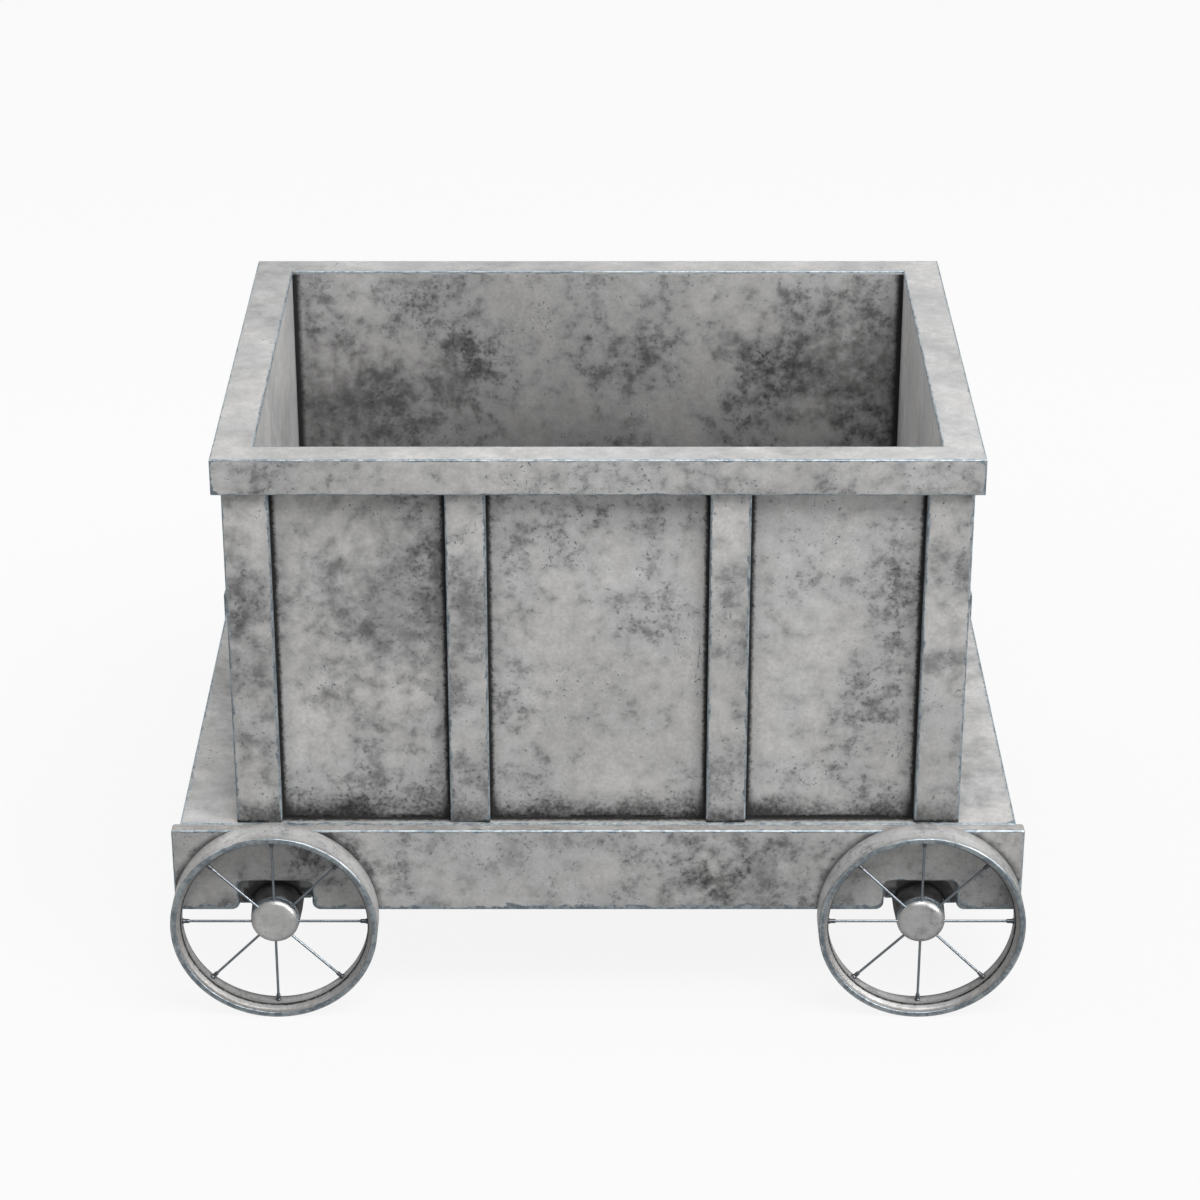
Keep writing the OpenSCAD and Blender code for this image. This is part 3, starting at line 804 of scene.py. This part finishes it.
def lattice_shell(xs, ys, zs):
    """The outer surface of a lattice, as points and quads that face outwards."""
    i, j, k = np.meshgrid(*(np.arange(len(c)) for c in (xs, ys, zs)), indexing="ij")
    outer = (i == 0) | (j == 0) | (k == 0) | (i == len(xs) - 1) | (j == len(ys) - 1) | (k == len(zs) - 1)
    number = np.full(outer.shape, -1)
    number[outer] = np.arange(outer.sum())
    points = np.stack([xs[i[outer]], ys[j[outer]], zs[k[outer]]], 1)
    quads = []
    for axis in range(3):
        for end in (0, -1):
            side = np.take(number, end, axis=axis)
            quad = np.stack([side[:-1, :-1], side[1:, :-1], side[1:, 1:], side[:-1, 1:]], -1).reshape(-1, 4)
            quads.append(quad if (end == -1) != (axis == 1) else quad[:, ::-1])
    return points, np.concatenate(quads)


def round_off(points, low, high, radius):
    """The points of a box's surface moved onto the same box with rounded edges, and their normals."""
    core = np.clip(points, low + radius, high - radius)
    out = points - core
    normals = out / np.maximum(np.linalg.norm(out, axis=1, keepdims=True), 1e-12)
    return core + normals * radius, normals


def box_edge_distance(points, low, high):
    """Each surface point's distance to the nearest edge of the box that it lies on."""
    inset = np.sort(np.minimum(points - low, high - points), axis=1)
    return np.minimum(np.hypot(inset[:, 0], inset[:, 1]), EDGE_REACH)


def plate(node, radius, neighbours=(), open_ends=()):
    """A flat plate or bar with rounded edges.

    open_ends are the axes whose end edges are covered by other pieces and show no wear.
    """
    low, high = (np.array(corner) for corner in BOXES[node])
    extras = [cross_lines(node, neighbours, a) for a in range(3)]
    lines = [lattice_lines(low[a], high[a], radius, extras[a]) for a in range(3)]
    points, quads = lattice_shell(*lines)
    points, normals = round_off(points, low, high, radius)
    worn_low, worn_high = low.copy(), high.copy()
    for a in open_ends:
        worn_low[a] -= FAR_OFF
        worn_high[a] += FAR_OFF
    fields = {
        "edge": box_edge_distance(points, worn_low, worn_high),
        "gap": gap_field(points, normals, node, neighbours),
    }
    posts = [n for n in neighbours if n.endswith("_post")]
    if posts:
        fields["post_gap"] = gap_field(points, normals, node, posts)
    finish_piece("v_" + node, points, quads, fields, [node])


# ----- shaped pieces -----


def cad_copy(node):
    """The node's CAD mesh with its flat faces merged."""
    shape = bmesh.new()
    shape.from_mesh(frame["nodes"][node].data)
    bmesh.ops.remove_doubles(shape, verts=shape.verts, dist=WELD)
    bmesh.ops.dissolve_limit(shape, angle_limit=FLAT_BELOW, verts=shape.verts, edges=shape.edges)
    return shape


def is_sharp(edge):
    return len(edge.link_faces) == 2 and edge.calc_face_angle(0.0) > SHARP_ABOVE


def ends_of(edge):
    return [v.co.copy() for v in edge.verts]


def round_edges(shape, edges, radii, segments):
    """Bevels the edges, the widest rounding first."""
    by_radius = {}
    for e in edges:
        by_radius.setdefault(radii(*ends_of(e)), []).append(e)
    settings = {"segments": segments, "profile": 0.5, "affect": "EDGES", "clamp_overlap": True}
    for radius in sorted(by_radius, reverse=True):
        if radius:
            live = [e for e in by_radius[radius] if e.is_valid]
            bmesh.ops.bevel(shape, geom=live, offset=radius, **settings)


def cut_along(shape, axis, places):
    """Cuts every face of the shape by planes across an axis."""
    normal = Vector((0.0, 0.0, 0.0))
    normal[axis] = 1.0
    for place in places:
        whole = shape.verts[:] + shape.edges[:] + shape.faces[:]
        bmesh.ops.bisect_plane(shape, geom=whole, dist=WELD, plane_co=normal * place, plane_no=normal)


def spaced(low, high, step):
    count = max(1, round((high - low) / step))
    return np.linspace(low, high, count + 1)[1:-1]


def shaped(node, radii, steps, neighbours=(), worn=lambda a, b: True, segments=2, rubbed=lambda p: 1.0):
    """A piece from the node's CAD shape, its sharp edges rounded and its faces cut to carry the fields.

    radii(a, b) gives the rounding of the edge from a to b, or 0, and worn(a, b) whether it is worn bare.
    rubbed(p) is below 1 where the wear at a point reaches further than elsewhere.
    """
    shape = cad_copy(node)
    sharp = [e for e in shape.edges if is_sharp(e)]
    bare = [ends for ends in map(ends_of, sharp) if worn(*ends)]
    starts, stops = [np.array(a) for a, b in bare], [np.array(b) for a, b in bare]
    round_edges(shape, sharp, radii, segments)
    low, high = BOXES[node]
    for axis, step in enumerate(steps):
        if step:
            extra = cross_lines(node, neighbours, axis)
            cut_along(shape, axis, [*spaced(low[axis], high[axis], step), *extra])
    shape.normal_update()
    points = np.array([v.co for v in shape.verts])
    normals = np.array([v.normal for v in shape.verts])
    shape.verts.index_update()
    faces = [[v.index for v in f.verts] for f in shape.faces]
    shape.free()
    fields = {
        "edge": segment_distance(points, starts, stops) * [rubbed(p) for p in points],
        "gap": gap_field(points, normals, node, neighbours),
    }
    finish_piece("v_" + node, points, faces, fields, [node])


# ----- turned pieces -----


def filleted(corners, steps=3):
    """A closed outline from pairs of a corner and its rounding."""
    rounded = []
    for i, (corner, radius) in enumerate(corners):
        before, after = (np.array(corners[k % len(corners)][0], float) for k in (i - 1, i + 1))
        corner = np.array(corner, float)
        a, b = before - corner, after - corner
        reach = min(radius, 0.45 * np.linalg.norm(a), 0.45 * np.linalg.norm(b))
        start, stop = corner + a / np.linalg.norm(a) * reach, corner + b / np.linalg.norm(b) * reach
        for t in np.linspace(0, 1, steps + 1):
            rounded.append((1 - t) ** 2 * start + 2 * t * (1 - t) * corner + t**2 * stop)
    return np.array(rounded)


def refined(outline, step):
    """The closed outline in the order that faces out, with no side longer than step."""
    result = []
    for a, b in zip(outline, np.roll(outline, -1, axis=0)):
        count = max(1, math.ceil(np.linalg.norm(b - a) / step))
        result.extend(a + (b - a) * i / count for i in range(count))
    result = np.array(result)
    x, y = result[:, 0], result[:, 1]
    area = float(np.sum(x * np.roll(y, -1) - np.roll(x, -1) * y)) / 2
    return result[::-1] if area > 0 else result


def turned(outline, centre, axis, segments):
    """Points and quads of a closed outline of (radius, along) turned about an axis through a centre."""
    axis = Vector(axis).normalized()
    side = axis.orthogonal().normalized()
    other = axis.cross(side)
    angles = np.arange(segments) * 2 * math.pi / segments
    spin = np.cos(angles)[:, None] * np.array(side) + np.sin(angles)[:, None] * np.array(other)
    points = (
        np.array(centre)
        + outline[None, :, 0, None] * spin[:, None, :]
        + outline[None, :, 1, None] * np.array(axis)
    ).reshape(-1, 3)
    n = len(outline)
    i, j = np.meshgrid(np.arange(segments), np.arange(n), indexing="ij")
    here, there = i * n, (i + 1) % segments * n
    k = (j + 1) % n
    quads = np.stack([here + j, there + j, there + k, here + k], -1).reshape(-1, 4)
    return points, quads


def place_distance(outline, places, reach):
    """Each outline point's distance to the nearest of some places, no more than reach."""
    best = np.full(len(outline), reach)
    for place in places:
        best = np.minimum(best, np.linalg.norm(outline - place, axis=1))
    return best


def turned_piece(node, outline, centre, outward, segments, worn, dirty=(), step=3 * MM):
    """A ring turned from an outline of (radius, along), where along grows outwards from the cart.

    worn lists the places of the outline that are worn bare, and dirty those where grime collects.
    """
    outline = refined(outline, step)
    points, quads = turned(outline, centre, outward, segments)
    fields = {
        "edge": np.tile(place_distance(outline, worn, EDGE_REACH), segments),
        "gap": np.tile(place_distance(outline, dirty, GAP_REACH), segments),
    }
    finish_piece("v_" + node, points, quads, fields, [node])


def many_turned(node, outline, places, segments, step):
    """One piece of many equal turned solids. places are (centre, axis) pairs."""
    outline = refined(outline, step)
    all_points, all_quads = [], []
    for centre, axis in places:
        points, quads = turned(outline, centre, axis, segments)
        all_quads.append(quads + sum(len(p) for p in all_points))
        all_points.append(points)
    points = np.concatenate(all_points)
    fields = {"edge": np.full(len(points), EDGE_REACH), "gap": np.full(len(points), GAP_REACH)}
    finish_piece("v_" + node, points, np.concatenate(all_quads), fields, [node])


# ----- wheels -----


def wheel_centre(end, side):
    low, high = BOXES[f"{end}_{side}_rim"]
    return (low + high) / 2


# A rim is a band with a rib inside. The rib's half widths are those at its foot and its top.
BAND, BAND_AND_RIB = 8 * MM, 15 * MM
RIB_FOOT, RIB_TOP = 16 * MM, 11 * MM
# The cap's outline stops just short of the axis
HUB_CURVE, HUB_BORE, HUB_BEVEL, CAP_MIDDLE = 11 * MM, 12 * MM, 0.6 * MM, 0.2 * MM
# Places along a spoke are measured from the axle
SPOKES = 8
SPOKE_RADIUS, SPOKE_ROOT, SPOKE_TIP, SPOKE_MIDDLE = 1.9 * MM, 21 * MM, 134 * MM, 0.05 * MM
NIPPLE_TIP_RADIUS, NIPPLE_RADIUS, FLANGE_RADIUS = 2.6 * MM, 3.1 * MM, 4.0 * MM
NIPPLE_SEAT = 134.9 * MM
RIM_SEGMENTS, HUB_SEGMENTS, SPOKE_SEGMENTS, NIPPLE_SEGMENTS = 192, 128, 16, 24


def make_rim(end, side):
    """A rim, worn along its edges and dirty at the rib's top."""
    node = f"{end}_{side}_rim"
    low, high = BOXES[node]
    outer, half = (high.z - low.z) / 2, (high.y - low.y) / 2
    inner, top = outer - BAND, outer - BAND_AND_RIB
    corners = [
        ((inner, -half), 1.5 * MM),
        ((outer, -half), 2.0 * MM),
        ((outer, half), 2.0 * MM),
        ((inner, half), 1.5 * MM),
        ((inner, RIB_FOOT), 4 * MM),
        ((top, RIB_TOP), 3 * MM),
        ((top, -RIB_TOP), 3 * MM),
        ((inner, -RIB_FOOT), 4 * MM),
    ]
    worn = [(outer, half), (inner, half), (inner + BAND / 2, half), (outer, -half), (inner, -half)]
    dirty = [(top, RIB_TOP), (top, -RIB_TOP)]
    outward = (0, SIDES[side], 0)
    turned_piece(node, filleted(corners), wheel_centre(end, side), outward, RIM_SEGMENTS, worn, dirty)


def make_hub(end, side):
    """The two halves of a hub, with one well-rounded front edge."""
    centre, outward = wheel_centre(end, side), (0, SIDES[side], 0)
    hub, cap = BOXES[f"{end}_{side}_hub"], BOXES[f"{end}_{side}_hub_cap"]
    radius = (hub[1].z - hub[0].z) / 2
    back, face = -(hub[1].y - hub[0].y), cap[1].y - cap[0].y
    flat = radius - HUB_CURVE
    turns = np.radians(np.linspace(0, 90, 19))
    bend = [(radius - HUB_CURVE * (1 - math.cos(t)), face - HUB_CURVE * (1 - math.sin(t))) for t in turns]
    behind, before = [p for p in bend if p[1] < 0], [p for p in bend if p[1] > 0]
    split = (flat + math.sqrt(HUB_CURVE**2 - (HUB_CURVE - face) ** 2), 0.0)
    back_edge = [(radius - HUB_BEVEL, back), (radius, back + HUB_BEVEL)]
    hub_line = [(HUB_BORE, back), *back_edge, *behind, split, (HUB_BORE, 0.0)]
    cap_line = [(CAP_MIDDLE, 0.0), split, *before, (CAP_MIDDLE, face)]
    worn = [(radius, back), (radius, -1 * MM)]
    for node, line in ((f"{end}_{side}_hub", hub_line), (f"{end}_{side}_hub_cap", cap_line)):
        turned_piece(node, np.array(line, float), centre, outward, HUB_SEGMENTS, worn)


def spoke_places(end):
    """The centre and direction of every spoke of an end's two wheels."""
    angles = [i * 2 * math.pi / SPOKES for i in range(SPOKES)]
    directions = [(math.sin(a), 0.0, math.cos(a)) for a in angles]
    return [(wheel_centre(end, side), direction) for side in SIDES for direction in directions]


def make_spokes(end):
    """The wires and nipples of an end's two wheels."""
    wire = [
        ((SPOKE_MIDDLE, SPOKE_ROOT), 0.0),
        ((SPOKE_RADIUS, SPOKE_ROOT), 0.2 * MM),
        ((SPOKE_RADIUS, SPOKE_TIP), 0.2 * MM),
        ((SPOKE_MIDDLE, SPOKE_TIP), 0.0),
    ]
    nipple = [
        ((SPOKE_RADIUS, NIPPLE_FOOT), 0.2 * MM),
        ((NIPPLE_TIP_RADIUS, NIPPLE_FOOT), 0.4 * MM),
        ((NIPPLE_RADIUS, NIPPLE_FOOT + 2.5 * MM), 0.5 * MM),
        ((NIPPLE_RADIUS, NIPPLE_SEAT - 3.4 * MM), 0.4 * MM),
        ((FLANGE_RADIUS, NIPPLE_SEAT - 2.6 * MM), 0.5 * MM),
        ((FLANGE_RADIUS, NIPPLE_SEAT), 0.2 * MM),
        ((SPOKE_RADIUS, NIPPLE_SEAT), 0.1 * MM),
    ]
    places = spoke_places(end)
    many_turned(f"{end}_spokes", filleted(wire), places, SPOKE_SEGMENTS, 12 * MM)
    many_turned(f"{end}_nipples", filleted(nipple), places, NIPPLE_SEGMENTS, 2 * MM)


# ----- the whole cart -----

TUB_WALLS = ["right_wall", "left_wall", "front_wall", "rear_wall"]
CORNER_POSTS = [f"{end}_{side}_corner_post" for end, side in WHEELS]
MIDDLE_POSTS = [f"{side}_{end}_middle_post" for end, side in WHEELS]
MIDDLE_POSTS += ["front_middle_post", "rear_middle_post"]
RAILS = [f"{name}_top_rail" for name in [*ENDS, *SIDES]]
HOUSINGS = [f"{end}_{side}_bearing_housing" for end, side in WHEELS]
SOLE_BARS = [f"{side}_sole_bar" for side in SIDES]
# The top rail's outer faces and its top
RAIL_OUTER = Vector((BOXES["front_top_rail"][1].x, *BOXES["left_top_rail"][1].yz))
BEAM_FOOT = BOXES["left_side_beam"][0].z
# How far each kind of piece is rounded
WALL_ROUND, TUB_FLOOR_ROUND, POST_ROUND, RAIL_ROUND = 0.4 * MM, 0.5 * MM, 1.8 * MM, 1.6 * MM
BEAM_ROUND, BEAM_BACK_ROUND = 2.6 * MM, 1.0 * MM
DECK_ROUND, SILL_ROUND, MEMBER_ROUND = 1.2 * MM, 1.0 * MM, 0.8 * MM


def upright(a, b):
    """Whether the edge from a to b climbs."""
    return abs(a.z - b.z) > NEAR


def corner_radius(a, b):
    return POST_ROUND if upright(a, b) else 0.0


def make_tub():
    """The walls, floor and posts."""
    around = [*TUB_WALLS, *CORNER_POSTS, *MIDDLE_POSTS, "deck_plate", "tub_floor"]
    for wall in TUB_WALLS:
        plate(wall, WALL_ROUND, around, open_ends=(0, 1, 2))
    plate("tub_floor", TUB_FLOOR_ROUND, TUB_WALLS, open_ends=(0, 1, 2))
    around = [*TUB_WALLS, "deck_plate"]
    for post in MIDDLE_POSTS:
        plate(post, POST_ROUND, around, open_ends=(2,))
    for post in CORNER_POSTS:
        shaped(post, corner_radius, (STEP, STEP, STEP), around, worn=upright)


def on_mitre(p):
    """Whether a point lies on a corner mitre of the top rail."""
    across = (abs(p.x) - WALL_INSIDE.x) / (RAIL_OUTER.x - WALL_INSIDE.x)
    along = (abs(p.y) - WALL_INSIDE.y) / (RAIL_OUTER.y - WALL_INSIDE.y)
    return abs(across - along) < 0.01


def on_skin(p):
    """Whether a point lies on the top rail's top or its outer face."""
    return p.z > RAIL_OUTER.z - NEAR or abs(p.x) > RAIL_OUTER.x - NEAR or abs(p.y) > RAIL_OUTER.y - NEAR


def mitre_line(a, b):
    """Whether the edge from a to b lies in one corner's mitre."""
    return on_mitre(a) and on_mitre(b) and a.x * b.x > 0 and a.y * b.y > 0


def rail_radius(a, b):
    """Rails are rounded along their skin, but not where two meet."""
    return RAIL_ROUND if on_skin(a) and on_skin(b) and not mitre_line(a, b) else 0.0


def rail_worn(a, b):
    """Rails are worn along their skin and up the corners, but not along a mitre's top."""
    return on_skin(a) and on_skin(b) and (upright(a, b) or not mitre_line(a, b))


def make_rails():
    for rail in RAILS:
        shaped(rail, rail_radius, (STEP, STEP, 9 * MM), worn=rail_worn)


def beam_radius(a, b):
    """Beams are well rounded at the outer face, less at the back, and not along the edges between."""
    if min(abs(a.y), abs(b.y)) > BEAM_FACE - NEAR:
        return BEAM_ROUND
    return BEAM_BACK_ROUND if abs(a.y - b.y) < NEAR else 0.0


def beam_rubbed(p):
    """Wear reaches further at a beam's foot."""
    return 0.45 if p[2] < BEAM_FOOT + 14 * MM else 1.0


def make_beams():
    for side in SIDES:
        shaped(f"{side}_side_beam", beam_radius, (STEP, 7 * MM, STEP), segments=4, rubbed=beam_rubbed)


def make_underframe():
    """The deck, end sills, cross members, sole bars and bearing housings."""
    plate("deck_plate", DECK_ROUND, TUB_WALLS)
    for end in ENDS:
        plate(f"{end}_end_sill", SILL_ROUND)
        shaped(f"{end}_cross_member", lambda a, b: MEMBER_ROUND, (STEP, 2 * STEP, STEP))
    for bar in SOLE_BARS:
        shaped(bar, lambda a, b: 0.0, (STEP, 0.0, STEP), HOUSINGS)
    for housing in HOUSINGS:
        shaped(housing, lambda a, b: 0.0, (STEP / 2, STEP / 2, STEP / 2), SOLE_BARS)


def make_wheels():
    for end, side in WHEELS:
        make_rim(end, side)
        make_hub(end, side)
    for end in ENDS:
        make_spokes(end)


def dress_small_parts():
    """CAD nodes whose shape is already right, such as bolts and bushes, get their material."""
    for node, part in frame["nodes"].items():
        if not part.hide_render:
            part.data.materials.clear()
            part.data.materials.append(MATERIALS[SLOT_OF[node]])


make_camera()
make_studio()
MATERIALS = make_materials()
make_tub()
make_rails()
make_beams()
make_underframe()
make_wheels()
dress_small_parts()
